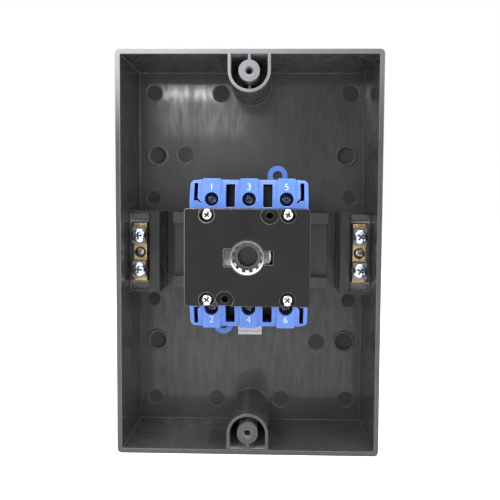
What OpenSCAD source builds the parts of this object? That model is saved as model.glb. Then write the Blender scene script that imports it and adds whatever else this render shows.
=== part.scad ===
/* [Enclosure base] */
// Outside width of the enclosure base
base_w = 112.4; // [107:0.2:140]
// Outside height of the enclosure base
base_h = 172.2; // [162:0.2:210]
// Depth of the base from the wall to its rim
base_d = 45; // [42:0.5:60]
// Thickness of the back wall
floor_t = 2.4; // [2.2:0.1:4]
// Thickness of the side walls at the rim
wall_t = 2.1; // [1.6:0.1:3]
// Lean of each inner wall face from rim to back wall
wall_draft = 0.6; // [0.2:0.1:1]
// Radius of the outer corners
base_corner_r = 2; // [1:0.5:6]

/* [Cover screw wells] */
// Distance of each cover screw from the end of the base
post_inset = 8.9; // [8:0.1:12]
// Outside radius of each cover screw post
post_r = 4.5; // [3.5:0.1:5]
// Radius of the screw hole in each post
post_hole_r = 1.35; // [1:0.05:1.8]
// Depth of the screw hole in each post
post_hole_depth = 14; // [8:1:20]
// Outside radius of the U-shaped wall round each post
well_r = 9; // [8:0.1:11]
// Thickness of the U-shaped wall
well_t = 1.3; // [1:0.1:1.8]
// Thickness of the webs that tie each post to its well
web_t = 1.2; // [0.8:0.1:2]

/* [Wall fixings] */
// Sideways distance between the wall fixing wells
fixing_w = 90; // [80:1:92]
// Upright distance between the wall fixing wells
fixing_h = 89; // [84:1:110]
// Inside radius of each fixing well
fixing_r = 4.05; // [3:0.05:4.5]
// Thickness of the ring round each fixing well
fixing_ring_t = 0.95; // [0.6:0.05:1.4]
// Height of that ring above the back wall
fixing_ring_h = 1; // [0.5:0.1:1.5]
// Thickness of plastic left to drill through
fixing_skin = 1.2; // [0.8:0.1:1.6]

/* [Terminal bars] */
// Width of each brass bar
bar_w = 6; // [5:0.2:6.6]
// Length of each brass bar
bar_len = 26; // [24:1:30]
// Depth of each brass bar
bar_d = 8; // [6:0.5:10]
// Distance between the two clamp screws of a bar
bar_pitch = 15; // [13:0.5:16]
// Distance of each bar's middle from the side of the cavity
bar_inset = 5.3; // [5:0.1:5.6]
// Width of the moulded pedestal under each bar
pedestal_w = 13.9; // [12:0.1:15]
// Length of the moulded pedestal under each bar
pedestal_len = 36.4; // [34:0.2:42]
// Height of the pedestal above the back wall
pedestal_h = 25; // [22:0.5:28]
// Height that the bar stands above the pedestal
bar_proud = 1.2; // [0.8:0.1:3]
// Radius of the clamp screw shank
clamp_screw_r = 1.9; // [1.5:0.05:2]
// Radius of the clamp screw head
clamp_head_r = 3; // [2.6:0.1:3.4]
// Gap for the wire under each clamp washer
wire_gap = 2.4; // [1.6:0.1:4]

/* [Mounting rail] */
// Width of the mounting rail
rail_w = 35; // [34:0.5:36]
// Width inside the channel of the rail
rail_channel = 25; // [24:0.5:26]
// Depth of the rail
rail_depth = 7.5; // [7:0.5:9]
// Thickness of the rail's strip
rail_t = 1; // [0.8:0.1:1.3]
// Distance from each end of the rail to the pedestal beside it
rail_end_gap = 4; // [1.5:0.5:8]
// Height of the rail's pads above the back wall
rail_stand = 3.5; // [3:0.5:6]

/* [Switch body] */
// Distance between the poles of the switch
pole_pitch = 16.2; // [15.6:0.1:18]
// Thickness of the walls between the poles
partition_t = 2.4; // [2:0.1:2.8]
// Thickness of the body's side walls
side_wall_t = 2.5; // [2.2:0.1:3.2]
// Depth of the blue body in front of the rail
body_depth = 24.8; // [24:0.2:30]
// Depth of the black housing in front of the body
housing_depth = 20.2; // [19.6:0.2:26]
// Height of the black housing
housing_h = 39.8; // [38:0.2:44]
// Thickness of the housing's front wall
front_t = 2.4; // [1.8:0.1:2.6]
// Thickness of the housing's side walls
housing_t = 1.8; // [1.4:0.1:2.2]
// Radius of the screwdriver holes over the terminals
access_r = 3; // [2.6:0.1:3.3]
// Width of the slots between the terminals
slot_w = 4; // [3:0.2:4.2]

/* [Switch mechanism] */
// Outside radius of the rotor's cup
rotor_r = 6.9; // [6.6:0.1:7.2]
// Radius of the bore that takes the operating shaft
shaft_bore_r = 4.15; // [3.5:0.05:4.6]
// Depth of the wide part of the cup
cup_depth = 8; // [6:0.5:9]
// Number of teeth round the inside of the cup
teeth = 12; // [6:1:16]
// Distance of the crank pin from the rotor's axis
crank_r = 4.5; // [4.2:0.1:4.6]
// Radius of the crank pin
crank_pin_r = 1.4; // [1.2:0.1:1.5]
// Running gap round the rotor
rotor_gap = 0.2; // [0.1:0.05:0.3]
// Travel of the rail latch
latch_travel = 3; // [2.4:0.1:3.2]

/* [Hidden] */
$fn = 64;
// Overrun of every cut past the face that it opens
over = 0.5;
// Side gap between flat faces that slide or drop in
fit_gap = 0.3;
// Radial gap between a screw and its hole
screw_play = 0.05;
// Proportions of every round-headed screw
head_side_share = 0.6;
head_top_share = 0.78;
recess_w_share = 0.26;
recess_l_share = 1.15;
recess_h_share = 1.5;

// Cavity of the base, measured at the rim
cavity_w = base_w - 2 * wall_t;
cavity_h = base_h - 2 * wall_t;
post_y = base_h / 2 - post_inset;
post_drop = 0.5;
post_mouth_r = 2;
post_mouth_h = 0.7;
inner_web_drop = 9;
well_reach = post_inset - wall_t / 2;
// Places of the flat round marks on the back wall, as shares of the half cavity, and their radius shares
mark_r = 4;
mark_depth = 0.2;
mark_shares = [
    [-0.584, 0.535, 1], [0.588, -0.536, 0.95],
    [-0.869, 0.292, 0.8], [0.869, 0.292, 0.8], [-0.869, -0.292, 0.8], [0.869, -0.292, 0.8],
    [-0.857, 0.881, 0.95], [0.865, 0.881, 0.95], [-0.268, 0.879, 1],
    [-0.86, -0.868, 0.85], [0.857, -0.871, 0.9], [-0.302, -0.875, 0.95], [0.274, -0.875, 0.95]
];

// Terminal bars and pedestals
bar_x = cavity_w / 2 - bar_inset;
pedestal_top = floor_t + pedestal_h;
bar_front = pedestal_top + bar_proud;
bar_back = bar_front - bar_d;
trough_side_t = 4.9;
trough_end_t = 1;
bar_stop_t = 1.2;
bar_stop_h = 3;
core_skin = 2.4;
core_boss_r = 3.4;
bar_hole_r = 1.65;
bar_sink_r = 2.3;
bar_sink_depth = 3;
bar_screw_head_r = 2.1;
bar_screw_head_h = 1.8;
bar_screw_grip = 8;
clamp_grip = 7;
clamp_head_h = 2.4;
washer_t = 1;
washer_w = 6;
washer_len = 7.2;

// Rail and its two screws
rail_len = cavity_w - 2 * pedestal_w - 2 * rail_end_gap;
rail_front = floor_t + rail_stand + rail_depth;
rail_web_back = floor_t + rail_stand;
rail_screw_x = 20;
rail_pad_w = 16;
rail_pad_h = 22;
rail_screw_r = 1.6;
rail_head_r = 3.1;
rail_head_h = 2;
rail_screw_bite = 4.4;

// Switch levels, counted from the wall
body_front = rail_front + body_depth;
housing_front = body_front + housing_depth;
chamber_w = pole_pitch - partition_t;
body_w = 2 * pole_pitch + chamber_w + 2 * side_wall_t;
column_x = pole_pitch + fit_gap;
column_inset = 2.6;
column_y = housing_h / 2 - column_inset;
column_r = 3.9;
access_margin = 0.8;
terminal_y = housing_h / 2 + access_r + access_margin;
knee_back = 0.6;
knee_y = terminal_y - knee_back;
body_reach = 8.5;
body_half = terminal_y + body_reach;
body_corner_r = 2.2;
arm_w = 3.6;
arm_short = 0.2;
slope_drop = 4.8;
tower_w = 7.7;
tower_proud = 0.5;
tower_drop = 3;
chamber_wall = 1.6;
chamber_y = column_y - chamber_wall;
cage_half = 2.9;
cage_gap = 0.3;
room_y = terminal_y - cage_half - cage_gap;
room_w = 8;

// Copper levels inside the body
tongue_t = 1.5;
tongue_w = 5;
tongue_drop = 10.9;
tongue_back = body_front - tongue_drop;
tongue_gap = 0.1;
chamber_under = 2.7;
chamber_floor = tongue_back - chamber_under;
room_under = 8.3;
room_floor = tongue_back - room_under;
room_top_gap = 2.8;
room_top = tongue_back + tongue_t + room_top_gap;

// Clamp cages and terminal screws
cage_w = 7.4;
cage_wall = 1;
cage_top_t = 1.6;
cage_bottom_t = 1.2;
cage_over = 0.6;
cage_top = tongue_back + tongue_t + cage_over + cage_top_t;
cage_bottom = room_floor + cage_gap + cage_bottom_t;
term_screw_r = 1.5;
term_head_r = 2.1;
term_head_h = 2.4;
term_lift = 1;

// Slots and lugs of the body
slot_end_in = 0.4;
slot_end_out = 2;
slot_depth = 23;
end_slot_w = 1.7;
end_slot_wall = 1.7;
end_slot_len = 7.6;
end_slot_hook = 1.8;
end_slot_hook_w = 0.7;
lug_r = 4.6;
lug_hole_r = 2.2;
lug_x = 12.4;
lug_reach = 2.4;
lug_t = 2.5;
lug_back = 2;
guide_len = 3;
guide_h = 3;

// Seat on the rail, hook and latch
seat_gap = 0.3;
back_w = 40;
back_drop = 4.1;
back_plane = rail_front - back_drop;
hook_w = 10;
hook_x = 14;
hook_bite = 2.1;
hook_t = 1.7;
hook_front = rail_front - rail_t - seat_gap;
latch_w = 11.2;
latch_t = 3;
latch_back = hook_front - hook_t + seat_gap / 2;
latch_tail = 7.4;
latch_groove = 0.8;
latch_groove_gap = 1.6;
peg_w = 3;
peg_len = 2.5;
peg_in = 2.5;
window_w = 3.8;
spring_len = 7;
spring_wire_r = 0.22;
spring_coil_r = 1.25;
spring_turns = 6;
spring_steps = 10;
spring_sides = 6;
back_pocket_depth = 7;
back_pocket_h = 22;
back_pocket_wall = 1.6;

// Housing features
housing_corner_r = 1.2;
recess_r = 3.1;
recess_depth = 2.6;
recess_floor = housing_front - recess_depth;
spare_x = 9.1;
spare_y = column_y;
spare_seat_r = 3.5;
spare_hole_r = 1.4;
spare_hole_depth = 8;
spare_column_r = 4.2;
ear_left = 9.5;
ear_left_h = 7.1;
ear_right = 10.4;
ear_right_h = 5.5;
post_x = 12.2;
detent_post_w = 2.6;
house_screw_r = 1.2;
house_head_r = 2.35;
house_head_h = 1.8;
house_screw_bite = 7;

// Rotor levels
rotor_proud = 0.2;
rotor_front = housing_front + rotor_proud;
lip_t = 0.6;
tooth_w = 1.6;
tooth_in = 0.9;
tooth_h = 4.5;
ledge = housing_front - cup_depth;
bore_depth = 5;
flange_r = 7.8;
wing_left = 9.9;
wing_left_h = 6.6;
wing_right = 8.8;
wing_right_h = 4.6;
wing_t = 2;
flange_front = housing_front - front_t - fit_gap;
flange_t = 4.1;
flange_back = flange_front - flange_t;
bridge_t = 1.6;
bridge_front = flange_back - fit_gap;
bridge_r = 9.6;
bridge_w = 8;
bridge_leg_gap = 0.6;
cam_flat = 5.6;
cam_corner_r = 7;
cam_h = 4;
cam_lift = 4;
cam_back = body_front + cam_lift;
pin_clear = 1.2;
detent_t = 0.4;
detent_h = 2.8;
detent_gap = 0.15;
detent_hook = 2.2;

// Contact carriage, its slot follows the crank pin over a quarter turn
crank_throw = crank_r * sin(45);
carriage_gap = 0.3;
carriage_t = 3.1;
carriage_back = body_front + carriage_gap;
carriage_front = carriage_back + carriage_t;
carriage_half_y = 7.4;
slot_play = 0.3;
yoke_low = crank_throw - crank_pin_r - slot_play;
yoke_high = crank_r + crank_pin_r + slot_play;
leg_front_x = 2.4;
leg_back_x = 3.4;
leg_half_y = 3.5;
leg_wall = 1.2;
window_gap = 0.2;
blade_t = 1.2;
blade_h = 4.2;
blade_end_gap = 1;
tab_half = 3.1;
blade_half = chamber_y - blade_end_gap;
blade_lift = 2.2;
blade_back = tongue_back + tongue_t + blade_lift;
blade_x = leg_front_x - leg_wall - window_gap;
tip_r = 1.5;
tip_t = 0.6;
tip_y = chamber_y - tab_half - fit_gap;
tip_open = 0.12;
leaf_t = 0.3;
fixed_face = crank_throw + blade_x + tip_t + tip_open;
tab_t = 1.2;
tab_x = fixed_face + tip_t;

// Turns a piece drawn lying on its back so that it hangs on a wall, front to -Y
module upright() {
    rotate([90, 0, 0]) children();
}

module both_sides() {
    children();
    mirror([1, 0, 0]) children();
}

module both_ends() {
    children();
    mirror([0, 1, 0]) children();
}

module at_poles() {
    for (pole = [-1, 0, 1]) translate([pole * pole_pitch, 0, 0]) children();
}

// Box from one corner to the other
module block(low, high) {
    translate(low) cube(high - low);
}

// Plate with round corners, its back on z = 0
module rounded_plate(w, h, r, t) {
    linear_extrude(t) {
        square([w - 2 * r, h], center = true);
        square([w, h - 2 * r], center = true);
        for (x = [-1, 1], y = [-1, 1]) translate([x * (w / 2 - r), y * (h / 2 - r)]) circle(r);
    }
}

// Profile drawn in (y, z) and drawn out along x
module along_x(length) {
    rotate([90, 0, 90]) linear_extrude(length, center = true) children();
}

// Section through the cavity whose side faces lean: its half width at the rim is half
module cavity_section(half) {
    lean = wall_draft / (base_d - floor_t) * over;
    polygon([
        [wall_draft - half, floor_t], [half - wall_draft, floor_t],
        [half + lean, base_d + over], [-half - lean, base_d + over]
    ]);
}

// Cavity of the base: all four side faces lean outwards to the rim
module leaning_cavity() {
    intersection() {
        along_x(base_w) cavity_section(cavity_h / 2);
        translate([0, base_h / 2, 0]) rotate([90, 0, 0]) linear_extrude(base_h) cavity_section(cavity_w / 2);
    }
}

// Round-headed screw with a cross recess: the head sits on z = 0, the shank points to -z
module pan_screw(head_r, head_h, shank_r, shank_len) {
    recess_w = head_r * recess_w_share;
    recess_l = head_r * recess_l_share;
    side_h = head_h * head_side_share;
    difference() {
        union() {
            cylinder(h = side_h, r = head_r);
            translate([0, 0, side_h]) cylinder(h = head_h - side_h, r1 = head_r, r2 = head_r * head_top_share);
        }
        translate([0, 0, head_h]) {
            cube([recess_l, recess_w, head_h * recess_h_share], center = true);
            cube([recess_w, recess_l, head_h * recess_h_share], center = true);
        }
    }
    translate([0, 0, -shank_len]) cylinder(h = shank_len, r = shank_r);
}

// U-shaped wall round a cover screw, open towards the end of the base
module well_wall() {
    linear_extrude(base_d - floor_t) {
        intersection() {
            difference() {
                circle(well_r);
                circle(well_r - well_t);
            }
            translate([-well_r, -well_r]) square([2 * well_r, well_r]);
        }
        both_sides() translate([well_r - well_t, 0]) square([well_t, well_reach]);
    }
}

// Cover screw post with the two webs that hold it in its well
module cover_post() {
    post_h = base_d - floor_t - post_drop;
    cylinder(h = post_h, r = post_r);
    block([-web_t / 2, 0, 0], [web_t / 2, well_reach, post_h]);
    block([-web_t / 2, well_t / 2 - well_r, 0], [web_t / 2, 0, post_h - inner_web_drop]);
}

module cover_post_hole() {
    top = base_d - post_drop;
    translate([0, 0, top - post_hole_depth]) cylinder(h = post_hole_depth + over, r = post_hole_r);
    translate([0, 0, top - post_mouth_h]) cylinder(h = post_mouth_h, r1 = post_hole_r, r2 = post_mouth_r);
    translate([0, 0, top]) cylinder(h = over, r = post_mouth_r);
}

// Pedestal on the right side wall, with the trough that holds a brass bar
module pedestal() {
    x0 = cavity_w / 2 - pedestal_w;
    x1 = base_w / 2 - wall_t / 2;
    trough_x = x0 + trough_side_t;
    difference() {
        block([x0, -pedestal_len / 2, 0], [x1, pedestal_len / 2, pedestal_top]);
        block(
            [trough_x, trough_end_t - pedestal_len / 2, bar_back],
            [cavity_w / 2 - wall_draft, pedestal_len / 2 - trough_end_t, pedestal_top + over]
        );
    }
    both_ends() block(
        [trough_x, bar_len / 2 + fit_gap / 2, bar_back],
        [cavity_w / 2, bar_len / 2 + fit_gap / 2 + bar_stop_t, bar_back + bar_stop_h]
    );
}

// Space moulded out of the pedestal from behind, round the boss of the bar's screw
module pedestal_core() {
    x0 = cavity_w / 2 - pedestal_w + core_skin;
    x1 = base_w / 2 - core_skin;
    y1 = pedestal_len / 2 - core_skin;
    difference() {
        block([x0, -y1, -over], [x1, y1, bar_back - core_skin]);
        translate([bar_x, 0, -2 * over]) cylinder(h = bar_back, r = core_boss_r);
    }
}

module base() {
    color("#333338") upright() difference() {
        union() {
            difference() {
                rounded_plate(base_w, base_h, base_corner_r, base_d);
                leaning_cavity();
            }
            both_ends() translate([0, post_y, floor_t]) {
                well_wall();
                cover_post();
            }
            both_ends() both_sides() translate([fixing_w / 2, fixing_h / 2, 0])
                cylinder(h = floor_t + fixing_ring_h, r = fixing_r + fixing_ring_t);
            both_sides() translate([rail_screw_x, 0, 0])
                block([-rail_pad_w / 2, -rail_pad_h / 2, 0], [rail_pad_w / 2, rail_pad_h / 2, rail_web_back]);
            both_sides() pedestal();
        }
        both_ends() translate([0, post_y, 0]) cover_post_hole();
        both_ends() both_sides() translate([fixing_w / 2, fixing_h / 2, fixing_skin])
            cylinder(h = floor_t + fixing_ring_h, r = fixing_r);
        for (m = mark_shares)
            translate([m[0] * cavity_w / 2, m[1] * cavity_h / 2, floor_t - mark_depth])
                cylinder(h = mark_depth + over, r = mark_r * m[2]);
        both_sides() translate([rail_screw_x, 0, rail_web_back - rail_screw_bite])
            cylinder(h = rail_screw_bite + over, r = rail_screw_r);
        both_sides() pedestal_core();
        both_sides() translate([bar_x, 0, bar_back - bar_screw_grip])
            cylinder(h = bar_screw_grip + over, r = bar_hole_r - 2 * screw_play);
    }
}

// Channel-shaped mounting rail
module mounting_rail() {
    half = rail_channel / 2;
    color("#2c2c30") upright() difference() {
        along_x(rail_len) {
            translate([-half - rail_t, rail_web_back]) square([2 * (half + rail_t), rail_t]);
            both_sides() {
                translate([half, rail_web_back]) square([rail_t, rail_depth]);
                translate([half, rail_front - rail_t]) square([rail_w / 2 - half, rail_t]);
            }
        }
        both_sides() translate([rail_screw_x, 0, rail_web_back - over])
            cylinder(h = rail_t + 2 * over, r = rail_screw_r + screw_play);
    }
}

module rail_screws() {
    color("#c9ccd2") upright() both_sides() translate([rail_screw_x, 0, rail_web_back + rail_t])
        pan_screw(rail_head_r, rail_head_h, rail_screw_r - screw_play, rail_t + rail_screw_bite - over);
}

// Brass bar with two tapped holes and a sunk hole for its own screw
module terminal_bar() {
    color("#c9a06a") upright() difference() {
        block([bar_x - bar_w / 2, -bar_len / 2, bar_back], [bar_x + bar_w / 2, bar_len / 2, bar_front]);
        both_ends() translate([bar_x, bar_pitch / 2, bar_back - over])
            cylinder(h = bar_d + 2 * over, r = clamp_screw_r + screw_play);
        translate([bar_x, 0, bar_back - over]) cylinder(h = bar_d + 2 * over, r = bar_hole_r);
        translate([bar_x, 0, bar_front - bar_sink_depth])
            cylinder(h = bar_sink_depth + over, r = bar_sink_r);
    }
}

module terminal_bar_left() {
    mirror([1, 0, 0]) terminal_bar();
}

module terminal_bar_right() {
    terminal_bar();
}

module bar_fixing_screws() {
    shank = bar_d - bar_sink_depth + bar_screw_grip - over;
    color("#c9ccd2") upright() both_sides() translate([bar_x, 0, bar_front - bar_sink_depth])
        pan_screw(bar_screw_head_r, bar_screw_head_h, bar_hole_r - 3 * screw_play, shank);
}

module clamp_screws() {
    head_z = bar_front + wire_gap + washer_t;
    color("#d4d7dc") upright() both_sides() both_ends() translate([bar_x, bar_pitch / 2, head_z])
        pan_screw(clamp_head_r, clamp_head_h, clamp_screw_r, wire_gap + washer_t + clamp_grip);
}

module clamp_washers() {
    color("#c5c8ce") upright() both_sides() both_ends()
        translate([bar_x, bar_pitch / 2, bar_front + wire_gap]) difference() {
            block([-washer_w / 2, -washer_len / 2, 0], [washer_w / 2, washer_len / 2, washer_t]);
            translate([0, 0, -over]) cylinder(h = washer_t + 2 * over, r = clamp_screw_r + 2 * screw_play);
        }
}

// Outer form of the blue body: flat in front, sloping back over the terminals
module body_form() {
    end_front = body_front - slope_drop;
    intersection() {
        along_x(body_w) polygon([
            [-body_half, rail_front], [-body_half, end_front], [-knee_y, body_front],
            [knee_y, body_front], [body_half, end_front], [body_half, rail_front]
        ]);
        translate([0, 0, rail_front]) {
            rounded_plate(body_w, 2 * (body_half - arm_short), body_corner_r, body_depth);
            rounded_plate(body_w - 2 * arm_w, 2 * body_half, arm_short, body_depth);
        }
    }
    // Raised terminal towers
    both_ends() at_poles() along_x(tower_w) polygon([
        [knee_y, room_floor - cage_wall], [body_half + tower_proud, room_floor - cage_wall],
        [body_half + tower_proud, body_front - tower_drop], [knee_y, body_front]
    ]);
}

// Lug with a screw eye at the back of the body
module lug() {
    z0 = back_plane + lug_back;
    y = body_half + lug_reach;
    translate([lug_x, y, z0]) cylinder(h = lug_t, r = lug_r);
    block([lug_x - lug_r, body_half - lug_r, z0], [lug_x + lug_r, y, z0 + lug_t]);
}

// Back of the body above and below the rail, with the fixed hooks on top
module rail_grip() {
    y0 = rail_w / 2 + seat_gap;
    both_ends() block([-back_w / 2, y0, back_plane], [back_w / 2, body_half - fit_gap, rail_front]);
    both_sides() block(
        [hook_x - hook_w / 2, y0 - hook_bite, hook_front - hook_t],
        [hook_x + hook_w / 2, y0 + over, hook_front]
    );
}

// Room for the latch, open towards the rail and at the lower end, round the spring's peg
module latch_channel() {
    peg_y = -body_half + peg_in;
    difference() {
        block(
            [-latch_w / 2 - fit_gap, -body_half - over, latch_back - fit_gap],
            [latch_w / 2 + fit_gap, -rail_w / 2 - seat_gap + over, latch_back + latch_t + fit_gap]
        );
        block(
            [-peg_w / 2, peg_y, latch_back - 2 * fit_gap],
            [peg_w / 2, peg_y + peg_len, latch_back + latch_t + 2 * fit_gap]
        );
    }
}

// Slots beside the terminals of one end
module body_slots() {
    z0 = body_front - slot_depth;
    both_sides() {
        block(
            [pole_pitch / 2 - slot_w / 2, housing_h / 2 + slot_end_in, z0],
            [pole_pitch / 2 + slot_w / 2, body_half - slot_end_out, body_front + over]
        );
        translate([body_w / 2 - end_slot_wall - end_slot_w, knee_y, z0]) {
            block([0, 0, 0], [end_slot_w, end_slot_len, slot_depth + over]);
            rotate([0, 0, 225])
                block([-end_slot_hook_w, -end_slot_hook_w, 0], [end_slot_hook, 0, slot_depth + over]);
        }
    }
}

module switch_base() {
    color("#4a7be0") upright() difference() {
        union() {
            body_form();
            rail_grip();
            lug();
            rotate([0, 0, 180]) lug();
            // Guides of the contact carriage
            both_ends() both_sides() translate([pole_pitch / 2, carriage_half_y + fit_gap, body_front - over])
                block([-partition_t / 2, 0, 0], [partition_t / 2, guide_len, guide_h + over]);
        }
        // Contact chambers and terminal rooms
        at_poles() block([-chamber_w / 2, -chamber_y, chamber_floor], [chamber_w / 2, chamber_y, body_front + over]);
        both_ends() at_poles() {
            block([-room_w / 2, room_y, room_floor], [room_w / 2, body_half + tower_proud + over, room_top]);
            block(
                [-tongue_w / 2 - tongue_gap, chamber_y - over, tongue_back - tongue_gap],
                [tongue_w / 2 + tongue_gap, room_y + over, tongue_back + tongue_t + tongue_gap]
            );
            translate([0, terminal_y, room_top - over]) cylinder(h = body_front, r = access_r);
        }
        both_ends() body_slots();
        // Pilot holes of the housing screws
        both_ends() both_sides() translate([column_x, column_y, body_front - house_screw_bite - over])
            cylinder(h = house_screw_bite + 2 * over, r = house_screw_r + screw_play);
        latch_channel();
        for (turn = [0, 180]) rotate([0, 0, turn]) translate([lug_x, body_half + lug_reach, back_plane])
            cylinder(h = back_drop + lug_t, r = lug_hole_r);
        // Lightening pockets behind the chambers
        at_poles() block(
            [back_pocket_wall - chamber_w / 2, -back_pocket_h / 2, rail_front - over],
            [chamber_w / 2 - back_pocket_wall, back_pocket_h / 2, rail_front + back_pocket_depth]
        );
    }
}

// Black housing of the mechanism
module switch_housing() {
    inner_x = body_w / 2 - housing_t;
    inner_y = housing_h / 2 - housing_t;
    color("#2f2f33") upright() difference() {
        intersection() {
            union() {
                difference() {
                    translate([0, 0, body_front]) rounded_plate(body_w, housing_h, housing_corner_r, housing_depth);
                    block([-inner_x, -inner_y, body_front - over], [inner_x, inner_y, housing_front - front_t]);
                }
                both_ends() both_sides() translate([column_x, column_y, body_front])
                    cylinder(h = housing_depth, r = column_r);
                for (turn = [0, 180]) rotate([0, 0, turn])
                    translate([spare_x, spare_y, recess_floor - spare_hole_depth - front_t])
                        cylinder(h = spare_hole_depth + front_t, r = spare_column_r);
                // Posts that hold the detent springs
                both_ends() both_sides() block(
                    [post_x - detent_post_w / 2, cam_flat + detent_gap + detent_t + screw_play, cam_back],
                    [
                        post_x + detent_post_w / 2,
                        cam_flat + detent_gap + detent_t + screw_play + detent_post_w,
                        housing_front - front_t / 2
                    ]
                );
            }
            translate([0, 0, body_front]) rounded_plate(body_w, housing_h, housing_corner_r, housing_depth);
        }
        // Sunk screw seats and their clearance holes
        both_ends() both_sides() translate([column_x, column_y, 0]) {
            translate([0, 0, recess_floor]) cylinder(h = housing_front, r = recess_r);
            translate([0, 0, body_front - over]) cylinder(h = housing_depth, r = house_screw_r + 2 * screw_play);
        }
        // Two spare seats, opposite each other
        for (turn = [0, 180]) rotate([0, 0, turn]) translate([spare_x, spare_y, 0]) {
            translate([0, 0, recess_floor]) cylinder(h = housing_front, r = spare_seat_r);
            translate([0, 0, recess_floor - spare_hole_depth]) cylinder(h = housing_front, r = spare_hole_r);
        }
        // Keyed opening over the rotor
        translate([0, 0, housing_front - front_t - over]) {
            cylinder(h = front_t + 2 * over, r = rotor_r + rotor_gap);
            block([-ear_left, -ear_left_h / 2, 0], [0, ear_left_h / 2, front_t + 2 * over]);
            block([0, -ear_right_h / 2, 0], [ear_right, ear_right_h / 2, front_t + 2 * over]);
        }
    }
}

module housing_screws() {
    color("#d6d8dc") upright() both_ends() both_sides() translate([column_x, column_y, recess_floor])
        pan_screw(house_head_r, house_head_h, house_screw_r, recess_floor - body_front + house_screw_bite);
}

// Folded bracket that carries the inner end of the rotor
module bearing_bridge() {
    leg_y0 = chamber_y + bridge_leg_gap;
    color("#b9bcc2") upright() difference() {
        union() {
            translate([0, 0, bridge_front - bridge_t]) cylinder(h = bridge_t, r = bridge_r);
            both_ends() {
                block([-bridge_w / 2, 0, bridge_front - bridge_t], [bridge_w / 2, leg_y0 + bridge_t, bridge_front]);
                block([-bridge_w / 2, leg_y0, body_front], [bridge_w / 2, leg_y0 + bridge_t, bridge_front]);
            }
        }
        translate([0, 0, bridge_front - bridge_t - over])
            cylinder(h = bridge_t + 2 * over, r = rotor_r + rotor_gap);
    }
}

// Toothed cup, flange, hub, square cam and crank pin in one moulding
module rotor() {
    color("#8f9092") upright() {
        difference() {
            union() {
                translate([0, 0, cam_back + cam_h]) cylinder(h = rotor_front - cam_back - cam_h, r = rotor_r);
                translate([0, 0, flange_back]) cylinder(h = flange_t, r = flange_r);
                // Key wings that fill the ears of the housing
                intersection() {
                    translate([0, 0, flange_front - wing_t]) cylinder(h = wing_t, r = wing_left);
                    union() {
                        block([-wing_left, -wing_left_h / 2, 0], [0, wing_left_h / 2, flange_front]);
                        block([0, -wing_right_h / 2, 0], [wing_right, wing_right_h / 2, flange_front]);
                    }
                }
                intersection() {
                    translate([0, 0, cam_back]) cylinder(h = cam_h, r = cam_corner_r);
                    block([-cam_flat, -cam_flat, cam_back], [cam_flat, cam_flat, cam_back + cam_h]);
                }
                rotate([0, 0, 135]) translate([crank_r, 0, body_front + pin_clear])
                    cylinder(h = cam_lift, r = crank_pin_r);
            }
            translate([0, 0, ledge]) cylinder(h = rotor_front, r = rotor_r - lip_t);
            translate([0, 0, ledge - bore_depth]) cylinder(h = rotor_front, r = shaft_bore_r);
        }
        // Teeth round the inside of the cup
        intersection() {
            translate([0, 0, ledge]) cylinder(h = cup_depth, r = rotor_r - lip_t / 2);
            for (i = [0 : teeth - 1]) rotate([0, 0, i * 360 / teeth]) block(
                [rotor_r - lip_t - tooth_in, -tooth_w / 2, ledge],
                [rotor_r, tooth_w / 2, ledge + tooth_h]
            );
        }
    }
}

// Flat spring that presses on the rotor's square cam, hooked round its two posts
module detent_spring() {
    y0 = cam_flat + detent_gap;
    x1 = post_x + detent_post_w / 2 + screw_play;
    z0 = cam_back + (cam_h - detent_h) / 2;
    color("#b8bbc0") upright() {
        block([-x1, y0, z0], [x1, y0 + detent_t, z0 + detent_h]);
        both_sides() block([x1, y0, z0], [x1 + detent_t, y0 + detent_t + detent_hook, z0 + detent_h]);
    }
}

module detent_spring_upper() {
    detent_spring();
}

module detent_spring_lower() {
    mirror([0, 0, 1]) detent_spring();
}

// Sliding bar that carries the three moving contacts, shown in the OFF place
module contact_carriage() {
    half_x = pole_pitch + leg_back_x;
    leg_back = blade_back - window_gap - leg_wall;
    color("#d8d4c6") upright() translate([-crank_throw, 0, 0]) difference() {
        union() {
            block([-half_x, -carriage_half_y, carriage_back], [half_x, carriage_half_y, carriage_front]);
            at_poles() block([-leg_back_x, -leg_half_y, leg_back], [leg_front_x, leg_half_y, carriage_front]);
        }
        // Windows of the moving contacts
        at_poles() block(
            [leg_wall - leg_back_x, -leg_half_y - over, blade_back - window_gap],
            [blade_x, leg_half_y + over, blade_back + blade_h + window_gap]
        );
        // Cross slot of the crank pin
        block(
            [-crank_pin_r - slot_play, yoke_low, carriage_back + over],
            [crank_pin_r + slot_play, yoke_high, carriage_front + over]
        );
    }
}

// Moving contact: a blade with a tip near each end
module bridge_contact(pole) {
    color("#b87333") upright() translate([pole * pole_pitch - crank_throw, 0, 0]) {
        block([blade_x - blade_t, -blade_half, blade_back], [blade_x, blade_half, blade_back + blade_h]);
        both_ends() translate([blade_x, tip_y, blade_back + blade_h / 2]) rotate([0, 90, 0])
            cylinder(h = tip_t, r = tip_r);
    }
}

// Bowed leaf spring behind a moving contact
module contact_spring(pole) {
    deep = blade_x - blade_t + leg_back_x - leg_wall - 2 * screw_play;
    rise = deep - leaf_t;
    half = leg_half_y - screw_play;
    bow_r = (half * half + rise * rise) / (2 * rise);
    front_x = blade_x - blade_t - screw_play;
    color("#b8bbc0") upright() translate([pole * pole_pitch - crank_throw, 0, blade_back]) intersection() {
        translate([front_x - bow_r, 0, 0]) difference() {
            cylinder(h = blade_h, r = bow_r);
            translate([0, 0, -over]) cylinder(h = blade_h + 2 * over, r = bow_r - leaf_t);
        }
        block([front_x - deep, -half, 0], [front_x + over, half, blade_h]);
    }
}

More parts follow.
